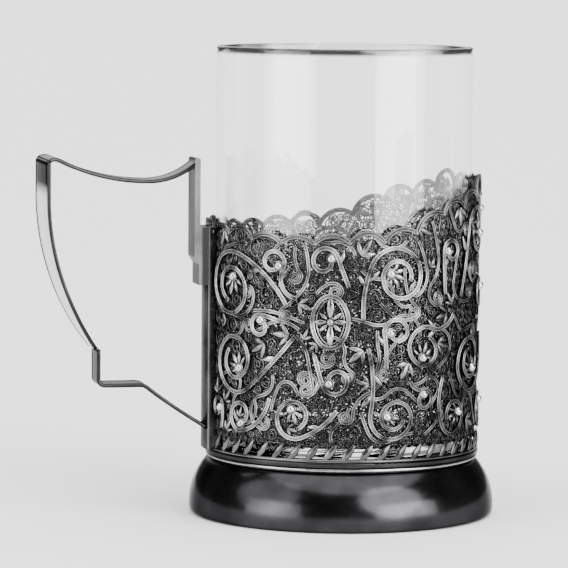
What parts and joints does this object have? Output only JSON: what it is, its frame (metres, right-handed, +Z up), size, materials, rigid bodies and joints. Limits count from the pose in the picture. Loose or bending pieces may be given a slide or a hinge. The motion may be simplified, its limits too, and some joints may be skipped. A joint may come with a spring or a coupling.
{
  "type": "tea glass holder",
  "caption": "Openwork metal holder with a flat strap handle and a spun foot, carrying a straight tea glass that lifts out.",
  "frame": {"origin": "centre of the foot's resting ring, on the table", "axes": "+Z up along the glass's axis, -X towards the handle, +X towards the crest of the crown, -Y the pictured side"},
  "size_m": [0.1203, 0.0804, 0.1226],
  "materials": {
    "foot_metal": "polished silver, darkened",
    "strap_metal": "polished silver",
    "dark_edging": "oxidised silver wire",
    "filigree_wire": "oxidised silver with rubbed crests",
    "dark_ground": "blackened silver",
    "bright_granules": "bright silver beads",
    "clear_glass": "clear, thin walled"
  },
  "bodies": {
    "holder": {"bottom_curl_back": "filigree_wire", "bottom_curl_front": "filigree_wire", "cartouche_back": "filigree_wire", "cartouche_crest": "filigree_wire", "cartouche_front": "filigree_wire", "corner_curls_back": "filigree_wire", "corner_curls_front": "filigree_wire", "crest_volute_back": "filigree_wire", "crest_volute_front": "filigree_wire", "crown_edge": "filigree_wire", "double_volute_back": "filigree_wire", "double_volute_front": "filigree_wire", "far_volute_back": "filigree_wire", "far_volute_front": "filigree_wire", "floor_plate": "foot_metal", "foot_bead": "foot_metal", "foot_shell": "foot_metal", "granules_back": "bright_granules", "granules_front": "bright_granules", "ground_stave_back_1": "dark_ground", "ground_stave_back_2": "dark_ground", "ground_stave_back_3": "dark_ground", "ground_stave_back_4": "dark_ground", "ground_stave_back_5": "dark_ground", "ground_stave_back_6": "dark_ground", "ground_stave_front_1": "dark_ground", "ground_stave_front_2": "dark_ground", "ground_stave_front_3": "dark_ground", "ground_stave_front_4": "dark_ground", "ground_stave_front_5": "dark_ground", "ground_stave_front_6": "dark_ground", "handle_post": "strap_metal", "leaf_border": "filigree_wire", "leaf_curl_back": "filigree_wire", "leaf_curl_front": "filigree_wire", "lower_hoop": "foot_metal", "lower_strap": "strap_metal", "lower_strap_edging": "dark_edging", "lower_volute_back": "filigree_wire", "lower_volute_front": "filigree_wire", "middle_curls_back": "filigree_wire", "middle_curls_front": "filigree_wire", "outer_strap": "strap_metal", "outer_strap_edging": "dark_edging", "rim_curl_back": "filigree_wire", "rim_curl_front": "filigree_wire", "ring_volute_back": "filigree_wire", "ring_volute_front": "filigree_wire", "seam_strip": "filigree_wire", "side_curls_back": "filigree_wire", "side_curls_front": "filigree_wire", "side_volute_back": "filigree_wire", "side_volute_front": "filigree_wire", "thumb_rest": "strap_metal", "thumb_rest_edging": "dark_edging", "upper_volute_back": "filigree_wire", "upper_volute_front": "filigree_wire"},
    "glass": {"glass": "clear_glass"}
  },
  "joints": [
    {"name": "glass_lift", "type": "slide", "parent": "holder", "child": "glass", "axis": [0, 0, 1], "range_m": [0, 0.11]}
  ]
}
